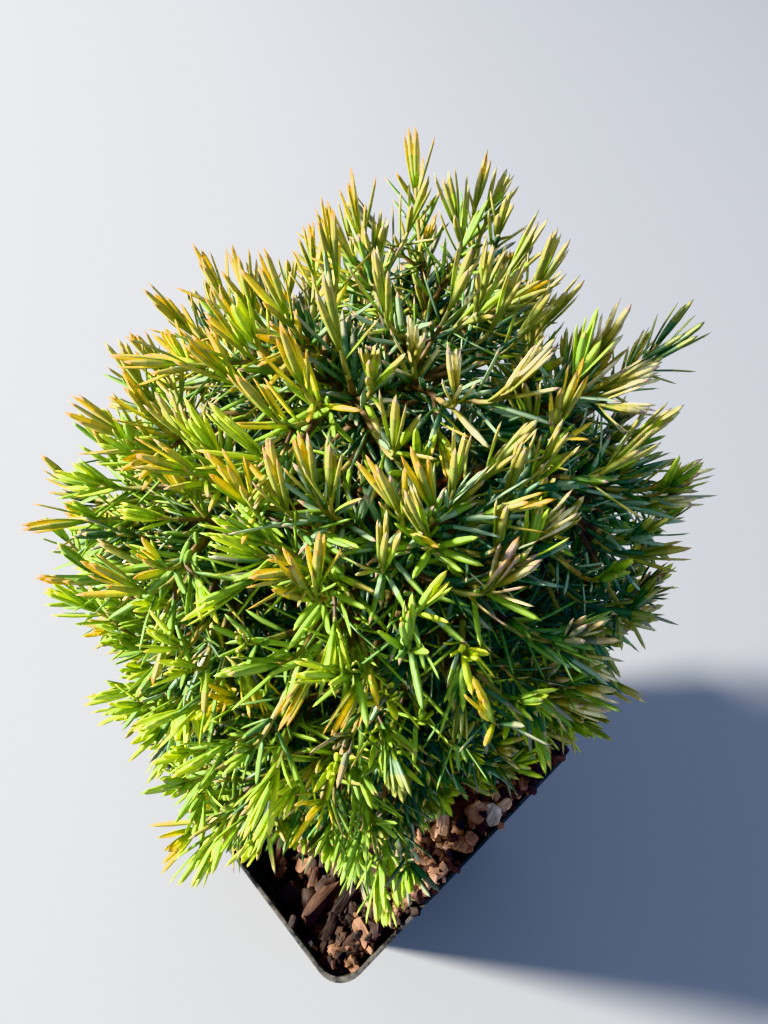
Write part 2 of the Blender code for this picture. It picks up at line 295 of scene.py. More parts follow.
def makePot(s):
    collarZ = s["height"] - s["collarHeight"]
    stepZ = collarZ + s["collarRound"]
    wallSide = s["baseSide"] + (s["wallTopSide"] - s["baseSide"]) * collarZ / s["height"]
    collarSide = wallSide + 2 * s["collarStep"]
    rimSide, walls = rimHalf * 2, s["wall"] * 2
    taper = wallSide / s["baseSide"]
    made = addBlock("nurseryPot", (0, 0, collarZ / 2), (s["baseSide"], s["baseSide"], collarZ))
    bpy.ops.object.mode_set(mode="EDIT")
    selectWhere("FACE", facesUp)
    bpy.ops.transform.resize(value=(taper, taper, 1), center_override=(0, 0, collarZ))
    selectWhere("EDGE", lambda edge: edgeRise(edge) > collarZ / 2)
    bpy.ops.mesh.bevel(offset=s["corner"], segments=7, profile=0.5, affect="EDGES")
    selectWhere("FACE", facesUp)
    # height and width of each step: out to the collar, up to the lip, then down the inside to the floor
    steps = (
        (stepZ, collarSide),
        (s["height"], rimSide),
        (s["height"], rimSide - walls),
        (stepZ, collarSide - walls),
        (collarZ, wallSide - walls),
        (s["floor"] + s["footHeight"], s["baseSide"] - walls),
    )
    z, side = collarZ, wallSide
    for nextZ, width in steps:
        bpy.ops.mesh.extrude_region_move(TRANSFORM_OT_translate={"value": (0, 0, nextZ - z)})
        bpy.ops.transform.resize(value=(width / side, width / side, 1), center_override=(0, 0, nextZ))
        z, side = nextZ, width
    # a raised middle leaves a foot all round the underside
    selectWhere("FACE", lambda face: face.normal.z < -0.9 and face.calc_center_median().z < s["floor"])
    bpy.ops.mesh.inset(thickness=s["footWidth"])
    bpy.ops.transform.translate(value=(0, 0, s["footHeight"]))
    bpy.ops.object.mode_set(mode="OBJECT")
    cutters = []
    reach = s["baseSide"] / 2 - s["drainInset"]
    for x, y in ((1, 1), (-1, 1), (-1, -1), (1, -1)):
        bpy.ops.mesh.primitive_cylinder_add(
            vertices=32, radius=s["drainRadius"], depth=0.012, location=(x * reach, y * reach, 0))
        cutters.append(bpy.context.object)
    width, depth, height = s["slot"]
    for quarter in range(4):
        turn = Matrix.Rotation(quarter * math.pi / 2, 4, "Z")
        bpy.ops.mesh.primitive_cube_add(
            size=1, location=turn @ Vector((s["baseSide"] / 2, 0, 0)),
            rotation=(0, 0, quarter * math.pi / 2), scale=(depth, width, height * 2))
        cutters.append(bpy.context.object)
    for cutter in cutters:
        addModifier(made, "BOOLEAN", operation="DIFFERENCE", solver="EXACT", object=cutter)
    addModifier(
        made, "BEVEL", width=s["lip"], segments=2, limit_method="ANGLE", angle_limit=math.radians(38))
    applyModifiers(made)
    for cutter in cutters:
        bpy.data.objects.remove(cutter)
    selectOnly(made)
    bpy.ops.object.shade_smooth_by_angle(angle=math.radians(35))
    setMaterial(made, mouldedPolypropylene(s))
    return made


nurseryPot = makePot(pot)
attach(nurseryPot, "root")
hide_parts("pot")
print("pot made")


# bark mix: a bed of fines with chips of composted pine bark on it
bark = {
    "seed": 21,
    "voxel": 0.0015,
    "bedFloor": 0.0024,
    "bedGap": 0.0032,    # how much narrower than the pot the bed is
    "lump": (0.0085, 0.0024),    # size and height of the bed's lumps
    "crumb": (0.0024, 0.0012),
    "bankHeight": 0.0116,    # the mix is banked up against one side of the rim
    "bankReach": (0.016, 0.043),    # where it starts to rise and where it is full, from the middle
    "chips": 560,
    "chipLength": (0.0030, 0.0085),
    "crumbs": 460,
    "crumbLength": (0.0012, 0.0032),
    "bankCrumbs": 520,    # more of them along the banked side
    "bankCrumbLength": (0.0013, 0.0046),
    "rimCrumbs": 30,
    "rootFlare": 0.0085,    # no chip is dropped nearer to the trunk
    "tones": {"red": 0.32, "damp": 0.60, "dry": 0.07, "weathered": 0.01},
    # paler tones on the banked side: painted sunlight on the chips there
    "paintedSunBankTones": {"red": 0.38, "damp": 0.22, "dry": 0.37, "weathered": 0.03},
    "bankFrom": (-0.018, -0.033),    # where that side starts, in x and y
    # chips that the photograph shows: pixel of the middle, degrees from the picture's right,
    # length in mm, slimness and tone
    "shown": (
        (323, 901, 46, 15.0, 0.42, "red"), (343, 905, 50, 12, 0.55, "damp"), (339, 951, 12, 6.0, 1.1, "dry"),
        (363, 934, -52, 7.5, 0.8, "dry"), (350, 962, 20, 3.6, 1.2, "dry"), (389, 916, 10, 4.5, 1.0, "dry"),
        (291, 894, 30, 7.0, 1.1, "damp"), (303, 865, 60, 5.0, 1.0, "dry"), (314, 884, 75, 7.5, 0.6, "red"),
        (351, 896, 40, 5.0, 1.0, "red"), (405, 886, 70, 6.0, 1.0, "red"), (479, 813, 30, 8.0, 1.2, "dry"),
        (442, 829, 80, 7.5, 1.0, "dry"), (417, 822, 60, 5.0, 1.0, "red"), (461, 845, 50, 5.0, 1.2, "dry"),
        (438, 874, 30, 6.0, 1.0, "dry"), (425, 893, 50, 5.0, 1.0, "dry"), (503, 808, 30, 5.0, 1.0, "dry"),
        (520, 797, 20, 6.0, 1.0, "red"), (546, 792, 80, 7.5, 1.0, "red"), (460, 811, 40, 8.0, 1.0, "red"),
        (372, 905, 120, 7.0, 1.0, "red"), (330, 930, 60, 8.0, 0.9, "damp"), (405, 905, 45, 4.5, 1.0, "dry"),
        (492, 820, 60, 6.5, 1.3, "weathered"),
    ),
}


def bankedHeight(x, y):
    # height of the bark mix at a place: banked against the -Y wall, most at its +X end
    first, last = bark["bankReach"]
    towards = min(1.0, max(0.0, (-y - first) / (last - first)))
    along = 0.60 + 0.40 * min(1.0, max(0.0, (x + 0.040) / 0.030))
    return barkZ + bark["bankHeight"] * towards ** 1.5 * along


def compostedPineBark(name, stops, grainSize):
    # flaky brown bark: darker where damp and paler in patches, fine grain along each chip
    made = newMaterial(name, "#5A3A2A", 0.85)
    place = objectPlace(made)
    grainPlace = addNode(made, "ShaderNodeAttribute", {"attribute_name": "grainPlace"}, {})
    patches = addNoise(made, place, 0.011, 3.0, 0.5)
    colour = addRamp(made, (patches, "Fac"), stops)
    grain = addNoise(made, (grainPlace, "Vector"), grainSize, 5.0, 0.65)
    tone = addRange(made, (grain, "Fac"), 0.3, 0.7, 0.45, 1.25)
    toned = addNode(made, "ShaderNodeVectorMath", {"operation": "SCALE"}, {
        0: (colour, "Color"), "Scale": (tone, "Result")})
    joinToShader(made, toned, 0, "Base Color")
    addRelief(made, (grain, "Fac"), 0.7, 0.0006)
    return made


def keepGrainPlace(mesh, places):
    attribute = mesh.attributes.new("grainPlace", "FLOAT_VECTOR", "POINT")
    attribute.data.foreach_set("vector", np.asarray(places, np.float32).ravel())


def makeBarkBed(s):
    # a block that fills the pot, its top roughened into lumps and crumbs
    floorZ, top = s["bedFloor"], barkZ
    widening = (pot["wallTopSide"] - pot["baseSide"]) / pot["height"]
    lowSide, highSide = (pot["baseSide"] + widening * z - s["bedGap"] for z in (floorZ, top))
    made = addBlock("barkBed", (0, 0, (floorZ + top) / 2), (lowSide, lowSide, top - floorZ))
    bpy.ops.object.mode_set(mode="EDIT")
    selectWhere("FACE", facesUp)
    bpy.ops.transform.resize(value=(highSide / lowSide, highSide / lowSide, 1), center_override=(0, 0, top))
    selectWhere("EDGE", lambda edge: edgeRise(edge) > top / 2)
    bpy.ops.mesh.bevel(offset=0.006, segments=5, profile=0.5, affect="EDGES")
    bpy.ops.object.mode_set(mode="OBJECT")
    addModifier(made, "REMESH", mode="VOXEL", voxel_size=s["voxel"])
    applyModifiers(made)
    places = placesOf(made)
    for place in places:
        if place[2] < top - 0.001:
            continue
        flat = Vector((place[0], place[1], 0))
        lumps = noise.noise(flat / s["lump"][0]) * s["lump"][1]
        crumbs = noise.noise(flat / s["crumb"][0] + Vector((3, 7, 0))) * s["crumb"][1]
        place[2] = bankedHeight(place[0], place[1]) + lumps + crumbs - 0.0012
    made.data.vertices.foreach_set("co", places.ravel())
    keepGrainPlace(made.data, places)
    made.data.shade_smooth()
    # dark browns: partly the damp fines' own colour, partly painted shade in the gaps between the chips
    fines = ((0.3, "#0D0907"), (0.5, "#1E1410"), (0.68, "#38271E"))
    setMaterial(made, compostedPineBark("fine_pine_bark", fines, 0.0011))
    return made


def barkPlace(x, y):
    # where the line of sight through a pixel meets the bark mix
    path = cameraPlace + sightThrough(x, y) * np.arange(0.18, 0.36, 0.0005)[:, None]
    under = [place[2] < bankedHeight(place[0], place[1]) for place in path]
    return path[int(np.argmax(under))]


def chipShapes(count, seed):
    # broken pieces, one unit long: a block rounded and roughened, then snapped off across one end
    shapes = []
    dice = np.random.default_rng(seed)
    for number in range(count):
        broad, thick = dice.uniform(0.45, 0.75), dice.uniform(0.28, 0.50)
        chip = addBlock("chip", (0, 0, 0), (1.25, broad * 1.2, thick * 1.2))
        bpy.ops.object.mode_set(mode="EDIT")
        bpy.ops.mesh.select_all(action="SELECT")
        bpy.ops.mesh.subdivide(number_cuts=2)
        bpy.ops.mesh.vertices_smooth(factor=0.5, repeat=2)
        cut = (dice.choice((-1, 1)), dice.uniform(-0.6, 0.6), dice.uniform(-0.7, 0.7))
        bpy.ops.mesh.select_all(action="SELECT")
        bpy.ops.mesh.bisect(
            plane_co=(cut[0] * dice.uniform(0.36, 0.50), 0, 0), plane_no=unit(cut),
            use_fill=True, clear_outer=True)
        bpy.ops.mesh.select_all(action="SELECT")
        bpy.ops.mesh.quads_convert_to_tris()
        bpy.ops.transform.vertex_random(offset=0.075, uniform=1.0, seed=number)
        bpy.ops.mesh.vertices_smooth(factor=0.22, repeat=1)
        bpy.ops.mesh.normals_make_consistent(inside=False)
        bpy.ops.object.mode_set(mode="OBJECT")
        faces = np.array([polygon.vertices[:] for polygon in chip.data.polygons])
        shapes.append((placesOf(chip), faces))
        bpy.data.objects.remove(chip)
    return shapes


def makeBarkChips(s):
    dice = np.random.default_rng(s["seed"])
    shapes = chipShapes(9, s["seed"])
    coords, faces, grains, slots = [], [], [], []

    def roomAt(x, y, length):
        # how far from the middle a chip may lie: the wall is narrower below the collar
        inCollar = bankedHeight(x, y) > rimZ - pot["collarHeight"] + 0.002
        return rimHalf - (0.0015 if inCollar else 0.0046) - length * 0.38

    toneNames = list(s["tones"])
    toneOdds, paintedSunBankOdds = list(s["tones"].values()), list(s["paintedSunBankTones"].values())

    def drop(x, y, z, length, tilt, turn=None, slim=1.0, tone=None):
        places, triangles = shapes[dice.integers(len(shapes))]
        local = places * length * (1, slim, slim ** 0.5)
        heading = Matrix.Rotation(dice.uniform(0, 2 * math.pi) if turn is None else turn, 3, "Z")
        lean = Matrix.Rotation(dice.normal(0, tilt), 3, "Y") @ Matrix.Rotation(dice.normal(0, tilt), 3, "X")
        faces.append(triangles + sum(map(len, coords)))
        coords.append(local @ np.array(heading @ lean).T + (x, y, z))
        grains.append(local * (0.22, 1, 1) + dice.uniform(-1, 1, 3))
        # chips on the banked side take the paler tones, as painted sunlight
        banked = x > s["bankFrom"][0] and y < s["bankFrom"][1]
        dealt = dice.choice(4, p=paintedSunBankOdds if banked else toneOdds)
        slots.extend([toneNames.index(tone) if tone else dealt] * len(triangles))

    for column, row, degrees, length, slim, tone in s["shown"]:
        place = barkPlace(column, row)
        angle = math.radians(degrees)
        turn = math.atan2(math.sin(angle) / math.sin(pitch), math.cos(angle)) - yaw
        room = roomAt(*place[:2], length * 0.001)
        x, y = np.clip(place[:2], -room, room)
        drop(x, y, bankedHeight(x, y) + length * 0.0002 + 0.0012, length * 0.00088, 0.20, turn, slim, tone)

    # how many, how long, how high above the bed, and how far they spread from the banked wall
    kinds = (
        (s["chips"], s["chipLength"], 0.0014, rimHalf),
        (s["crumbs"], s["crumbLength"], 0.0016, rimHalf),
        (s["bankCrumbs"], s["bankCrumbLength"], 0.0018, s["bankFrom"][1]),
    )
    for count, (least, most), lift, farthest in kinds:
        for _ in range(count):
            x, y = dice.uniform(-rimHalf, rimHalf), dice.uniform(-rimHalf, farthest)
            length = least + (most - least) * dice.random() ** 1.5
            room = roomAt(x, y, length)
            inCorner = math.hypot(max(abs(x) - room + 0.005, 0), max(abs(y) - room + 0.005, 0)) > 0.005
            if math.hypot(x, y) < s["rootFlare"] or inCorner or max(abs(x), abs(y)) > room:
                continue
            drop(x, y, bankedHeight(x, y) + lift * dice.uniform(0, 2), length, 0.36)
    for _ in range(s["rimCrumbs"]):
        # crumbs left on the lip, most of them on the banked side
        side = dice.choice(4, p=(0.85, 0.07, 0.04, 0.04))
        place = Vector((dice.uniform(-0.030, 0.046), -rimHalf + pot["wall"] * dice.uniform(0.8, 2.2)))
        place = Matrix.Rotation(side * math.pi / 2, 2) @ place
        drop(place.x, place.y, rimZ + 0.0003, dice.uniform(0.0010, 0.0036), 0.3)
    tones = {
        "red": ((0.3, "#281A15"), (0.5, "#50372C"), (0.7, "#775846")),
        "damp": ((0.3, "#1A1210"), (0.5, "#332520"), (0.7, "#4E3D37")),
        "dry": ((0.3, "#70503C"), (0.5, "#A87E62"), (0.7, "#D0AA8C")),
        "weathered": ((0.3, "#8E7A6C"), (0.5, "#BCA794"), (0.7, "#D6C6B6")),
    }
    materials = [compostedPineBark(name + "_pine_bark", tones[name], 0.0009) for name in toneNames]
    made = meshFrom(
        "barkChips", np.concatenate(coords), np.zeros((0, 4), int), np.concatenate(faces), slots, materials)
    keepGrainPlace(made.data, np.concatenate(grains))
    selectOnly(made)
    bpy.ops.object.shade_smooth_by_angle(angle=math.radians(50))
    return made


barkBed = makeBarkBed(bark)
barkChips = makeBarkChips(bark)
for piece in (barkBed, barkChips):
    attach(piece, "root")
    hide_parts("substrate")
print("bark mix made")


# trunk and boughs: the CAD limbs, refined and given bark relief
limbs = {
    "levels": 2,
    "ridge": (0.0016, 0.00016),    # width and height of the bark's ridges
    "flake": (0.0040, 0.00022),
}


def youngConiferBark(name, stops, size):
    # thin brown bark with fine stringy ridges and paler scars
    made = newMaterial(name, "#6B4A36", 0.8)
    place = objectPlace(made)
    stretched = addNode(made, "ShaderNodeMapping", {}, {"Vector": place, "Scale": (1, 1, 0.3)})
    strings = addNoise(made, (stretched, "Vector"), size, 6.0, 0.65)
    joinToShader(made, addRamp(made, (strings, "Fac"), stops), "Color", "Base Color")
    addRelief(made, (strings, "Fac"), 0.8, 0.0005)
    return made


def makeLimbs(s):
    copies = []
    for name in ["stem", *boughNodes]:
        made = addObject("bark_" + name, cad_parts[name].data.copy())
        selectOnly(made)
        bpy.ops.object.mode_set(mode="EDIT")
        bpy.ops.mesh.select_all(action="SELECT")
        bpy.ops.mesh.remove_doubles(threshold=0.00002)
        bpy.ops.mesh.tris_convert_to_quads()
        bpy.ops.object.mode_set(mode="OBJECT")
        addModifier(made, "SUBSURF", levels=s["levels"], render_levels=s["levels"])
        applyModifiers(made)
        copies.append(made)
    selectOnly(*copies)
    bpy.ops.object.join()
    made = bpy.context.object
    made.name = "barkLimbs"
    places = placesOf(made)
    outwards = np.array([vertex.normal[:] for vertex in made.data.vertices])
    for place, outward in zip(places, outwards):
        if place[2] < barkZ + 0.0005:
            continue
        flat = Vector((place[0], place[1], place[2] * 0.3))
        ridge = noise.noise(flat / s["ridge"][0]) * s["ridge"][1]
        flake = noise.noise(flat / s["flake"][0]) * s["flake"][1]
        place += outward * (ridge + flake)
    made.data.vertices.foreach_set("co", places.ravel())
    made.data.shade_smooth()
    browns = ((0.32, "#3A2519"), (0.5, "#6E4B36"), (0.7, "#9A755A"))
    setMaterial(made, youngConiferBark("young_conifer_bark", browns, 0.0016))
    return made


barkLimbs = makeLimbs(limbs)
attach(barkLimbs, "root")
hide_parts("stem", *boughNodes)
print("trunk and boughs made")


# foliage: twigs branch on from the boughs, and needles stand on them in crossed pairs
crown = {
    "centre": (0.0138, 0.0077, 0.183),
    "halfWidth": 0.0705,
    "halfHeight": 0.0835,
    "skirt": 0.090,
    "fullnessBelow": 2.9,
    # azimuth, elevation, gain in metres, spread in degrees: the long tufts and the hollows of the outline
    "tufts": (
        (27, 60, 0.008, 20), (-28, 42, 0.011, 17), (-48, 24, 0.005, 18),
        (-131, -7, 0.009, 14), (-158, -3, 0.009, 12), (150, 22, 0.003, 18),
        (-92, -2, -0.006, 24), (-178, 0, -0.007, 15), (118, 37, -0.006, 22),
    ),
    "unevenness": 0.0028,
    "unevennessSize": 0.021,
    "clearOfBark": 0.012,
    "clearOfRim": 0.005,
    "paintedSun": 0.58,    # share of the sprays with painted sunlight in the middle of the picture
    "paintedSunFall": 0.95,    # how fast the painted sunlight falls off to the right
    "highRise": 1.6,    # how fast the high sprays set in, and where half of them have
    "highMiddle": 0.43,
    # the crown's outline as the photograph shows it, in its pixels, round a point in its middle
    "middle": (380, 560),
    "edge": (
        (650, 531), (694, 493), (701, 455), (645, 452), (670, 392), (700, 328), (684, 304), (631, 333),
        (575, 326), (580, 285), (550, 287), (560, 248), (530, 224), (507, 170), (480, 157), (445, 189),
        (409, 142), (392, 216), (353, 182), (307, 217), (273, 267), (238, 269), (203, 253), (204, 279),
        (176, 279), (153, 289), (152, 324), (128, 333), (111, 364), (146, 402), (90, 392), (77, 425),
        (91, 455), (29, 472), (48, 501), (35, 524), (62, 548), (37, 596), (60, 628), (133, 649), (92, 700),
        (111, 728), (141, 746), (152, 776), (180, 818), (165, 850), (180, 880), (192, 885), (215, 850),
        (228, 862), (246, 862), (262, 838), (290, 845), (315, 858), (335, 870), (355, 868), (372, 915),
        (385, 922), (406, 911), (414, 872), (426, 838), (440, 815), (452, 800), (477, 788), (500, 782),
        (520, 765), (539, 755), (571, 745), (599, 735), (633, 695), (606, 651), (615, 627), (668, 600),
        (678, 560),
    ),
}

shoots = {
    "seed": 7,
    "leaders": 430,    # shoots that reach the crown's outline
    "leaderShare": (0.82, 0.99),
    "fillers": 400,    # shorter ones inside it
    "fillerShare": (0.38, 0.80),
    "growFrom": (0.006, 0.004, 0.145),    # the place that they point away from
    "upward": (0.25, 1.40),    # how much the shoots turn up, at the skirt and high in the crown
    "brush": 0.0078,    # length of the closed brush of needles at a shoot's end
    "twigTip": 0.00044,
    "inside": 3,    # how many pixels inside the outline they end
    "apart": 0.0055,    # room that the brushes of the photograph keep
    "forkStep": (0.10, 0.035, 0.24),    # share of the way to the next fork: first, added at each fork, most
    "thickest": 0.00086,
    "leafless": 24,    # a limb that feeds this many shoots carries no needles
    "sideLength": (0.008, 0.016),
    "sideOdds": (0.47, 0.37, 0.16),    # of no, one or two side shoots
    # the brushes that the photograph shows best: pixel of the end, degrees from the picture's right, spray
    # each brush's spray holds the light and shade it shows, painted into its colours
    "shown": (
        (415, 137, 93, "golden"), (484, 156, 83, "bronze"), (442, 177, 118, "khaki"),
        (507, 172, 66, "khaki"), (539, 227, 56, "khaki"), (566, 245, 55, "khaki"), (483, 249, 92, "khaki"),
        (581, 287, 43, "khaki"), (623, 303, 71, "cream"), (684, 304, 64, "dim"), (700, 328, 36, "dim"),
        (540, 344, 60, "cream"), (449, 343, 102, "cream"), (579, 366, 78, "bronze"), (655, 366, 22, "cream"),
        (459, 436, 88, "khaki"), (704, 468, 26, "cream"), (392, 397, 93, "khaki"), (577, 506, 43, "cream"),
        (509, 541, 77, "pink"), (538, 559, 40, "cream"), (600, 616, 40, "cream"), (696, 500, 8, "cream"),
        (474, 689, 120, "yellow"), (680, 543, 22, "bronze"), (651, 611, 5, "dim"), (606, 708, 2, "cream"),
        (352, 180, 99, "golden"), (322, 212, 105, "golden"), (329, 286, 99, "khaki"),
        (248, 257, 87, "golden"), (202, 252, 112, "bronze"), (272, 264, 103, "golden"),
        (151, 291, 132, "bronze"), (127, 332, 130, "bronze"), (283, 332, 108, "golden"),
        (84, 407, 142, "bronze"), (301, 440, 100, "golden"), (47, 457, 122, "golden"),
        (274, 449, 92, "bronze"), (214, 454, 122, "golden"), (224, 415, 128, "lime"),
        (134, 454, 161, "golden"), (156, 394, 118, "khaki"), (36, 524, 183, "golden"),
        (45, 575, 165, "golden"), (98, 559, 130, "golden"), (92, 692, 172, "lime"), (104, 715, 189, "lime"),
        (134, 735, 216, "lime"), (153, 775, 235, "lime"), (182, 880, 231, "lime"), (200, 879, 245, "lime"),
        (258, 846, 245, "lime"), (333, 729, 232, "golden"), (280, 717, 235, "bronze"),
        (196, 615, 213, "lime"), (384, 518, 87, "khaki"), (323, 537, 80, "golden"),
        (287, 553, 113, "bronze"), (376, 922, 264, "lime"), (337, 878, 235, "bright"),
        (403, 908, 292, "lime"), (633, 693, 340, "khaki"), (597, 738, 300, "green"),
        (541, 755, 275, "green"), (336, 446, 80, "khaki"), (370, 470, 125, "bronze"),
        (412, 462, 118, "golden"), (405, 497, 120, "khaki"), (498, 498, 95, "khaki"),
        (536, 506, 88, "green"), (445, 572, 60, "lime"), (409, 604, 90, "green"), (292, 668, 160, "lime"),
        (252, 580, 185, "golden"), (215, 517, 150, "green"), (208, 541, 160, "lime"),
        (140, 722, 185, "lime"), (245, 822, 235, "lime"), (225, 668, 175, "green"),
        (222, 300, 112, "golden"), (238, 372, 125, "golden"), (180, 410, 125, "lime"),
        (190, 335, 130, "golden"), (522, 262, 70, "khaki"), (548, 290, 60, "khaki"), (590, 322, 85, "green"),
        (668, 412, 45, "khaki"), (380, 255, 95, "khaki"), (640, 430, 60, "khaki"), (560, 430, 70, "khaki"),
        (520, 440, 85, "khaki"),
    ),
}

needle = {
    "width": 0.00121,
    "widths": (1.22, 1.0, 0.90),    # how wide they are in the skirt, in the middle and high up
    "thickness": 0.00050,
    "roughness": 0.38,
    "size": (0.80, 1.16),    # by shoot
    "shownSize": (1.02, 1.24),    # on the brushes that the photograph shows
    "stretch": (0.85, 1.2),    # of the distances between the pairs
    "threeOdds": 0.16,    # of three needles instead of a pair
    "youngWidth": 1.14,
    "innerFrom": 8,    # pairs from this one on are mostly dark, old needles
    "innerOdds": 0.75,
    # distance back from the shoot's tip, angle off the shoot and length of each pair, in mm and degrees
    "pairs": (
        (0.0, 6, 8.0), (0.8, 13, 8.5), (2.4, 25, 8.9), (4.7, 36, 9.1), (7.5, 46, 9.0), (10.7, 53, 8.7),
        (14.3, 58, 8.3), (18.3, 61, 7.9), (22.6, 63, 7.6), (27.2, 65, 7.3), (32.2, 66, 7.0), (37.6, 67, 6.7),
    ),
    # share of the needle's length, share of its full width
    "rings": ((0.0, 0.46), (0.25, 0.88), (0.57, 1.0), (0.86, 0.68)),
}

needleColours = {
    # the pale grey-green is painted sheen, standing for the glossy needles' reflection
    "deepGreen": "#3C523E", "darkGreen": "#4C6450", "pineGreen": "#587652", "blueGreen": "#5E8066",
    "greyGreen": "#9CB48C", "midGreen": "#688C50", "leafGreen": "#7E9E46", "brightGreen": "#96B848",
    "yellowGreen": "#B2CA48", "lime": "#CEDC4C", "yellow": "#E6DC48", "goldenYellow": "#E8CC40",
    "amber": "#DCAC42", "copper": "#AE8C56", "oliveGreen": "#868F4A", "khaki": "#ACA454",
    "mutedOlive": "#7E8268", "tan": "#B3A070", "sand": "#CFC686", "cream": "#EFE6AE", "pinkTan": "#B79C84",
}

# foot, middle, upper part and tip of the outer face, then of the inner face
sprays = {
    "golden": "leafGreen oliveGreen khaki amber yellowGreen yellow goldenYellow amber",
    "yellow": "brightGreen yellowGreen yellow amber lime yellow goldenYellow goldenYellow",
    "bronze": "oliveGreen oliveGreen khaki copper yellowGreen khaki goldenYellow amber",
    "lime": "leafGreen brightGreen yellowGreen lime yellowGreen lime lime yellow",
    "khaki": "oliveGreen oliveGreen khaki tan leafGreen yellowGreen khaki sand",
    "muted": "pineGreen mutedOlive mutedOlive pinkTan mutedOlive mutedOlive tan tan",
    "cream": "oliveGreen khaki sand pinkTan khaki sand cream sand",
    "pink": "oliveGreen tan pinkTan copper khaki sand tan pinkTan",
    "green": "midGreen leafGreen leafGreen khaki leafGreen brightGreen yellowGreen yellowGreen",
    "dim": "pineGreen pineGreen oliveGreen oliveGreen pineGreen oliveGreen oliveGreen khaki",
    "bright": "midGreen leafGreen brightGreen yellowGreen leafGreen brightGreen brightGreen yellowGreen",
    "plain": "pineGreen midGreen midGreen leafGreen midGreen leafGreen leafGreen leafGreen",
    "tipped": "pineGreen midGreen leafGreen pinkTan midGreen greyGreen leafGreen tan",
    "olive": "midGreen oliveGreen khaki tan leafGreen yellowGreen khaki tan",
    "dark": "darkGreen darkGreen pineGreen tan darkGreen pineGreen mutedOlive mutedOlive",
    # mostly the pale grey-green: painted sheen
    "paintedSheen": "pineGreen greyGreen greyGreen greyGreen midGreen greyGreen greyGreen pinkTan",
    "blue": "darkGreen pineGreen blueGreen blueGreen pineGreen blueGreen greyGreen blueGreen",
    "inner": "deepGreen deepGreen deepGreen darkGreen deepGreen deepGreen darkGreen darkGreen",
}

# share of each spray where the crown is sunny and high, sunny and low, shady and high, shady and low
# sunny sprays are lighter and yellower as painted sunlight, shady ones darker, duller and bluer as painted
# shade
youngSprays = (
    {"golden": 0.42, "yellow": 0.18, "bronze": 0.20, "lime": 0.02, "khaki": 0.18},
    {"yellow": 0.12, "lime": 0.50, "green": 0.38},
    # pale cream brushes in the shade are painted highlights on tips that catch the light
    {"khaki": 0.46, "muted": 0.22, "cream": 0.08, "dim": 0.12, "bronze": 0.12},
    {"green": 0.28, "dim": 0.36, "muted": 0.22, "khaki": 0.07, "cream": 0.03, "lime": 0.04},
)
oldSprays = (
    {"olive": 0.52, "bright": 0.14, "plain": 0.08, "paintedSheen": 0.10, "tipped": 0.16},
    {"bright": 0.42, "plain": 0.40, "olive": 0.10, "paintedSheen": 0.08},
    {"dark": 0.30, "olive": 0.12, "paintedSheen": 0.28, "tipped": 0.20, "blue": 0.10},
    {"dark": 0.32, "plain": 0.32, "olive": 0.04, "paintedSheen": 0.18, "tipped": 0.10, "blue": 0.04},
)

crownCentre = np.array(crown["centre"])
highWay = unit(viewUp + (0, 0, 0.35))    # the top and far side, towards the key light, get the golden sprays: painted light over the young growth's own gold
colourNames = list(needleColours)
sprayNames = list(sprays)
sprayTable = np.array([[colourNames.index(colour) for colour in row.split()] for row in sprays.values()])
edge = np.array(crown["edge"]) - crown["middle"]
edgeAngles = np.arctan2(-edge[:, 1], edge[:, 0])
edgeReach = np.hypot(edge[:, 0], edge[:, 1])


def crownReach(way):
    # distance from the crown's centre to its outline
    c, way = crown, Vector(way)
    power, high = (2.0, c["halfHeight"]) if way.z > 0 else (c["fullnessBelow"], c["skirt"])
    flat = (math.hypot(way.x, way.y) / c["halfWidth"]) ** power
    reach = (flat + (abs(way.z) / high) ** power) ** (-1 / power)
    for azimuth, elevation, gain, spread in c["tufts"]:
        a, e = math.radians(azimuth), math.radians(elevation)
        tuft = Vector((math.cos(e) * math.cos(a), math.cos(e) * math.sin(a), math.sin(e)))
        away = math.degrees(way.angle(tuft))
        reach += gain * math.exp(-((away / spread) ** 2))
    uneven = noise.noise(way * (c["halfWidth"] / c["unevennessSize"]))
    return reach + c["unevenness"] * uneven


def roomInPhoto(place):
    # how many pixels inside the crown's outline a place shows
    x, y = pixelOf(place) - crown["middle"]
    return np.interp(math.atan2(-y, x), edgeAngles, edgeReach, period=2 * math.pi) - math.hypot(x, y)


def crownPlace(x, y):
    # where the line of sight through a pixel meets the crown, or passes it closest
    path = cameraPlace + sightThrough(x, y) * np.arange(0.06, 0.28, 0.001)[:, None]
    away = path - crownCentre
    gaps = [np.linalg.norm(each) - 0.97 * crownReach(unit(each)) for each in away]
    met = np.nonzero(np.array(gaps) < 0)[0]
    return path[met[0] if len(met) else int(np.argmin(gaps))]


def bezier(p0, p1, p2, p3, count):
    t = np.linspace(0, 1, count)[:, None]
    s = 1 - t
    return p0 * s**3 + 3 * p1 * s * s * t + 3 * p2 * s * t * t + p3 * t**3


tubes = []
needleRows = {name: [] for name in foliageNodes}
rng = np.random.default_rng(shoots["seed"])


def addLimb(start, startWay, end, endWay, startRadius, endRadius, count):
    span = np.linalg.norm(end - start)
    points = bezier(start, start + startWay * span * 0.38, end - endWay * span * 0.38, end, count)
    tubes.append((points, np.linspace(startRadius, endRadius, count)))
    return points


def keepsClear(tip):
    # above the rim outside the pot, above the bark inside it
    inPot = max(abs(tip[0]), abs(tip[1])) < rimHalf - crown["clearOfBark"]
    return tip[2] > (barkZ + crown["clearOfBark"] if inPot else rimZ + crown["clearOfRim"])


def growthWay(place):
    upward = np.interp(place[2], (rimZ + 0.03, rimZ + 0.12), shoots["upward"])
    way = unit(place - np.array(shoots["growFrom"])) + np.array((0, 0, upward))
    return unit(unit(way) + rng.normal(0, 0.12, 3))


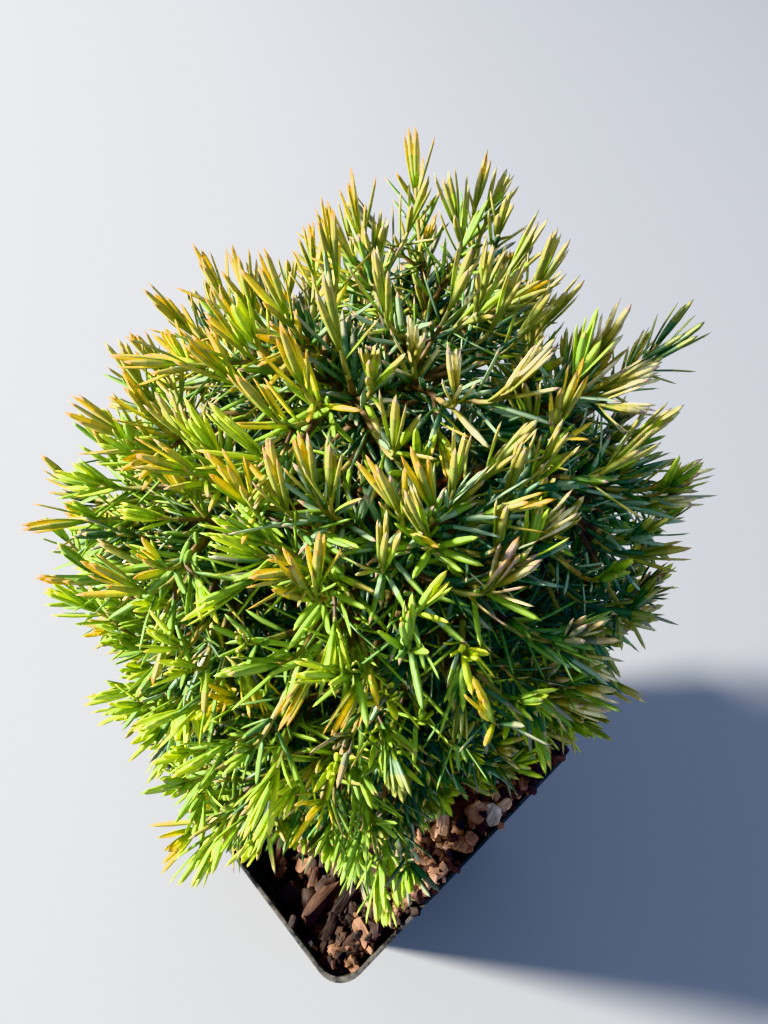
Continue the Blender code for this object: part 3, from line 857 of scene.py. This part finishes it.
def spreadEnds(count, shares):
    # shoots spread evenly round the crown, each ending at a share of the outline's reach
    turn = math.pi * (3 - math.sqrt(5))
    made = []
    for i in range(count):
        z = 1 - 2 * (i + 0.5) / count
        flat = math.sqrt(1 - z * z)
        way = np.array((flat * math.cos(i * turn), flat * math.sin(i * turn), z))
        way = unit(way + rng.normal(0, 0.05, 3))
        reach = crownReach(way) * (shares[1] - (shares[1] - shares[0]) * rng.random() ** 1.6)
        while roomInPhoto(crownCentre + way * reach) < shoots["inside"] and reach > 0.03:
            reach *= 0.98
        end = crownCentre + way * reach
        made.append((end, growthWay(end)))
    return made


def shownShoots():
    # the brushes of the photograph, each turned in the picture's plane as it shows
    made = []
    for x, y, degrees, spray in shoots["shown"]:
        end = crownPlace(x, y)
        grown = growthWay(end)
        depth = min(0.6, max(-0.6, float(grown @ viewAhead)))
        turned = viewRight * math.cos(math.radians(degrees)) + viewUp * math.sin(math.radians(degrees))
        made.append((end, unit(viewAhead * depth + turned * math.sqrt(1 - depth * depth)), spray))
    return made


def dealSpray(place, table):
    # deals a spray from the table by where it grows, which paints light and shade into the colours
    out = unit(place - crownCentre)
    # painted sunlight: full on the picture's left side, falling off to the right
    paintedSun = min(1, max(0, crown["paintedSun"] - crown["paintedSunFall"] * float(out @ viewRight)))
    high = min(1, max(0, 0.5 + crown["highRise"] * (float(out @ highWay) - crown["highMiddle"])))
    weights = (paintedSun * high, paintedSun * (1 - high), (1 - paintedSun) * high, (1 - paintedSun) * (1 - high))
    shares = {}
    for weight, corner in zip(weights, table):
        for name, share in corner.items():
            shares[name] = shares.get(name, 0) + weight * share
    names = list(shares)
    odds = np.array([shares[name] for name in names])
    return names[rng.choice(len(names), p=odds / odds.sum())]


def addNeedles(mass, points, firstPair, lastPair, inner, spray):
    # sets crossed pairs of needles along a shoot, from its tip back
    steps = np.linalg.norm(np.diff(points, axis=0), axis=1)
    lengths = np.concatenate(([0], np.cumsum(steps)))
    young = "dark" if inner else spray or dealSpray(points[-1], youngSprays)
    old = "inner" if inner else dealSpray(points[-1], oldSprays)
    # one more young pair on the top and far side, partly painted light
    youngPairs = rng.integers(2, 4) + (unit(points[-1] - crownCentre) @ highWay > 0.45)
    turn = rng.uniform(0, math.pi)
    heights = (rimZ + 0.02, rimZ + 0.10, rimZ + 0.15)
    width = needle["width"] * np.interp(points[-1][2], heights, needle["widths"])
    size = rng.uniform(*needle["shownSize" if spray else "size"])
    stretch = rng.uniform(*needle["stretch"])
    for number, (back, angle, length) in enumerate(needle["pairs"]):
        if number < firstPair or number > lastPair:
            continue
        at = lengths[-1] - (back - needle["pairs"][firstPair][0]) * 0.001 * stretch
        if at < 0.0005:
            break
        k = min(max(int(np.searchsorted(lengths, at)) - 1, 0), len(steps) - 1)
        place = points[k] + (points[k + 1] - points[k]) * (at - lengths[k]) / max(steps[k], 1e-9)
        along = unit(points[k + 1] - points[k])
        count = 3 if rng.random() < needle["threeOdds"] else 2
        for j in range(count):
            mean = angle * 0.86 if spray else angle
            opening = math.radians(max(3, mean + rng.normal(0, 3 + angle * 0.10)))
            around = turn + 2 * math.pi * j / count + rng.normal(0, 0.16)
            wears = young if number < youngPairs + (rng.random() < 0.4) else old
            if number >= needle["innerFrom"] and rng.random() < needle["innerOdds"]:
                wears = "inner"
            bend = rng.normal(-0.05, 0.03) if number < 3 else rng.normal(0.03, 0.08)
            broad = width * rng.uniform(0.85, 1.15) * (needle["youngWidth"] if number < youngPairs else 1.0)
            needleRows[mass].append((
                *place, *along, around, opening, length * 0.001 * size * rng.uniform(0.80, 1.12),
                broad, bend, rng.normal(0, 0.25), sprayNames.index(wears)))
        turn += math.pi / 2 + rng.normal(0, 0.1)


def growShoot(mass, shoot, start, startWay):
    tip, way, inner, spray = shoot
    thin = shoots["twigTip"]
    points = addLimb(start, startWay, tip, way, thin * 1.7, thin * 0.75, 12)
    addNeedles(mass, points, 0, 9 if inner else 11, inner, spray)
    for _ in range(rng.choice(3, p=shoots["sideOdds"])):
        k = rng.integers(4, 10)
        along = unit(points[k] - points[k - 1])
        across = unit(np.cross(along, rng.normal(0, 1, 3)))
        sideWay = unit(along + across * rng.uniform(0.55, 0.95))
        sideTip = points[k] + sideWay * rng.uniform(*shoots["sideLength"])
        end = sideTip + sideWay * shoots["brush"]
        out = end - crownCentre
        beyond = np.linalg.norm(out) > crownReach(unit(out)) * 0.99
        if beyond or roomInPhoto(end) < shoots["inside"] or not keepsClear(sideTip):
            continue
        side = addLimb(points[k], sideWay, sideTip, unit(sideWay + along * 0.5), thin, thin * 0.7, 6)
        addNeedles(mass, side, 0, 7, inner, spray if rng.random() < 0.6 else None)


def growBranch(mass, grown, start, startWay, depth):
    # a limb forks wherever the shoots that it feeds fall in two groups
    if len(grown) <= 2:
        for shoot in grown:
            growShoot(mass, shoot, start, startWay)
        return
    places = np.array([shoot[0] for shoot in grown])
    middle = places.mean(axis=0)
    first, added, most = shoots["forkStep"]
    end = start + (middle - start) * min(first + added * depth, most)
    way = unit(unit(middle - start) + 0.3 * startWay)
    thick = min(shoots["twigTip"] * len(grown) ** 0.24, shoots["thickest"])
    limb = addLimb(start, startWay, end, way, thick, thick * 0.88, 6)
    if len(grown) < shoots["leafless"]:
        addNeedles(mass, limb, 5, 11, len(grown) > 6, "plain")
    axes = np.linalg.svd(places - middle)[2]
    order = np.argsort((places - middle) @ axes[0])
    half = len(order) // 2
    for part in (order[:half], order[half:]):
        partWay = unit(places[part].mean(axis=0) - end)
        growBranch(mass, [grown[i] for i in part], end, unit(way + partWay), depth + 1)


def growCrown(s):
    shown = shownShoots()
    ends = np.array([end for end, _, _ in shown])
    grown = [(end - way * s["brush"], way, False, spray) for end, way, spray in shown]
    kinds = ((s["leaders"], s["leaderShare"], False), (s["fillers"], s["fillerShare"], True))
    for count, shares, inner in kinds:
        for end, way in spreadEnds(count, shares):
            tip = end - way * s["brush"]
            crowded = not inner and np.linalg.norm(ends - end, axis=1).min() < s["apart"]
            if keepsClear(tip) and not crowded:
                grown.append((tip, way, inner, None))
    middles = np.array([(sum(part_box(name), Vector()) / 2)[:] for name in foliageNodes])
    tips = np.array([shoot[0] for shoot in grown])
    owner = np.linalg.norm(tips[:, None] - middles[None], axis=2).argmin(axis=1)
    stemPlaces = placesOf(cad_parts["stem"])
    stemTop = stemPlaces[stemPlaces[:, 2] > stemPlaces[:, 2].max() - 0.0015].mean(axis=0)
    feet = {mass: stemTop for mass in range(len(foliageNodes))}
    for name in boughNodes:
        places = placesOf(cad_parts[name])
        mass = np.linalg.norm(places[:, None] - middles[None], axis=2).min(axis=0).argmin()
        away = np.linalg.norm(places - middles[mass], axis=1)
        feet[mass] = places[away < away.min() + 0.0012].mean(axis=0)
    for mass, name in enumerate(foliageNodes):
        mine = [shoot for shoot, itsMass in zip(grown, owner) if itsMass == mass]
        growBranch(name, mine, feet[mass], unit(middles[mass] - feet[mass]), 0)


growCrown(shoots)
print("crown grown:", len(tubes), "limbs,", sum(map(len, needleRows.values())), "needles")


def youngShootBark(name, stops):
    # smooth skin of this year's and last year's growth
    made = newMaterial(name, stops[1][1], 0.55)
    place = objectPlace(made)
    patches = addNoise(made, place, 0.004, 3.0, 0.5)
    joinToShader(made, addRamp(made, (patches, "Fac"), stops), "Color", "Base Color")
    return made


def makeNeedles(name, rows, materials):
    # all the needles of one mass: closed four-sided blades, keeled outside and flatter inside
    table = np.array(rows)
    place, along = table[:, 0:3], table[:, 3:6]
    around, spread, length, width, bend, roll = table[:, 6:12].T[:, :, None]
    spray = table[:, 12].astype(int)
    helper = np.where(np.abs(along[:, 2:3]) < 0.9, np.array([[0, 0, 1.0]]), np.array([[1.0, 0, 0]]))
    u = unit(np.cross(along, helper))
    out = u * np.cos(around) + np.cross(along, u) * np.sin(around)
    way = along * np.cos(spread) + out * np.sin(spread)
    wide = np.cross(along, out)
    face = np.cross(wide, way)
    wide, face = wide * np.cos(roll) + face * np.sin(roll), face * np.cos(roll) - wide * np.sin(roll)
    place = place + out * shoots["twigTip"] * 0.6
    corners = []
    for share, broad in needle["rings"]:
        middle = place + way * length * share + face * bend * length * share**2
        half = wide * width * broad / 2
        thick = face * needle["thickness"] * (0.5 + 0.5 * broad)
        corners += [middle - half, middle + thick * 0.65, middle + half, middle - thick * 0.2]
    corners.append(place + way * length + face * bend * length)
    each = len(corners)
    last = each - 5
    quads, quadPart = [(3, 2, 1, 0)], [0]
    for ring in range(len(needle["rings"]) - 1):
        for k in range(4):
            a, b = ring * 4 + k, ring * 4 + (k + 1) % 4
            quads.append((a, b, b + 4, a + 4))
            quadPart.append(ring + (0 if k < 2 else 4))
    tris = [(last + k, last + (k + 1) % 4, each - 1) for k in range(4)]
    triPart = [3, 3, 7, 7]
    firsts = (np.arange(len(table)) * each)[:, None, None]
    allQuads = (np.array(quads)[None] + firsts).reshape(-1, 4)
    allTris = (np.array(tris)[None] + firsts).reshape(-1, 3)
    colours = sprayTable[spray]
    slots = np.concatenate([colours[:, quadPart].ravel(), colours[:, triPart].ravel()])
    coords = np.stack(corners, axis=1).reshape(-1, 3)
    return meshFrom(name, coords, allQuads, allTris, slots, materials)


def makeTwigs(name, sides, materials):
    # all the twigs as closed tapering tubes
    coords, quads, tris, slots, triSlots = [], [], [], [], []
    total = 0
    angles = np.arange(sides)[:, None] * 2 * math.pi / sides
    for points, radii in tubes:
        tangents = unit(np.gradient(points, axis=0))
        sideWay = unit(np.cross(tangents[0], (0.3, 0.2, 0.9)))
        for point, tangent, radius in zip(points, tangents, radii):
            sideWay = unit(sideWay - tangent * (sideWay @ tangent))
            ring = np.cos(angles) * sideWay + np.sin(angles) * np.cross(tangent, sideWay)
            coords.append(point + radius * ring)
        count = len(points)
        green = radii.max() < shoots["twigTip"] * 1.75
        for i in range(count - 1):
            for k in range(sides):
                a, b = total + i * sides + k, total + i * sides + (k + 1) % sides
                quads.append((a, b, b + sides, a + sides))
                slots.append(1 if green and i > count * 0.4 else 0)
        coords.append(points[[0, -1]])
        top = total + (count - 1) * sides
        for k in range(sides):
            tris.append((total + (k + 1) % sides, total + k, total + count * sides))
            tris.append((top + k, top + (k + 1) % sides, total + count * sides + 1))
            triSlots += [0, 1 if green else 0]
        total += count * sides + 2
    coords = np.concatenate(coords)
    return meshFrom(name, coords, np.array(quads), np.array(tris), slots + triSlots, materials)


needleMaterials = [
    newMaterial(name + "_needle", colour, needle["roughness"]) for name, colour in needleColours.items()]
for node in foliageNodes:
    piece = makeNeedles("needles_" + node, needleRows[node], needleMaterials)
    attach(piece, "root")
    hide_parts(node)
print("needles made")

twigMaterials = [
    youngShootBark("brown_shoot_bark", ((0.35, "#43352A"), (0.5, "#62503A"), (0.68, "#7E6A46"))),
    youngShootBark("green_shoot_skin", ((0.35, "#7C844A"), (0.5, "#9A9654"), (0.68, "#A48A58"))),
]
twigs = makeTwigs("twigs", 5, twigMaterials)
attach(twigs, "root")
print("twigs made")


# floor and light
light = {
    "aim": (0.01, 0.01, 0.16),
    # place, size, power and colour
    "keyLight": ((-1.79, 1.85, 1.58), 0.40, 392, "#FFF8EA"),
    "fillLight": ((0.5, -0.9, 1.0), 1.2, 1, "#E4EEFF"),
    "skyColour": "#BCD0F8",
    "skyStrength": 0.92,
}

bpy.ops.mesh.primitive_plane_add(size=4, location=(0, 0, 0))
paleFloor = bpy.context.object
paleFloor.name = "paleFloor"
setMaterial(paleFloor, newMaterial("pale_floor", "#8F9194", 0.9))

for name in ("keyLight", "fillLight"):
    place, size, power, colour = light[name]
    lamp = bpy.data.lights.new(name, "AREA")
    lamp.shape = "DISK"
    lamp.size = size
    lamp.energy = power
    lamp.color = linear(colour)[:3]
    made = addObject(name, lamp)
    made.location = place
    made.rotation_euler = (Vector(light["aim"]) - Vector(place)).to_track_quat("-Z", "Y").to_euler()

world = bpy.data.worlds.new("studio")
world.use_nodes = True
sky = world.node_tree.nodes["Background"]
sky.inputs["Color"].default_value = linear(light["skyColour"])
sky.inputs["Strength"].default_value = light["skyStrength"]
bpy.context.scene.world = world
# keeps the foliage's yellows and greens
bpy.context.scene.view_settings.view_transform = "Khronos PBR Neutral"
print("floor and light set")
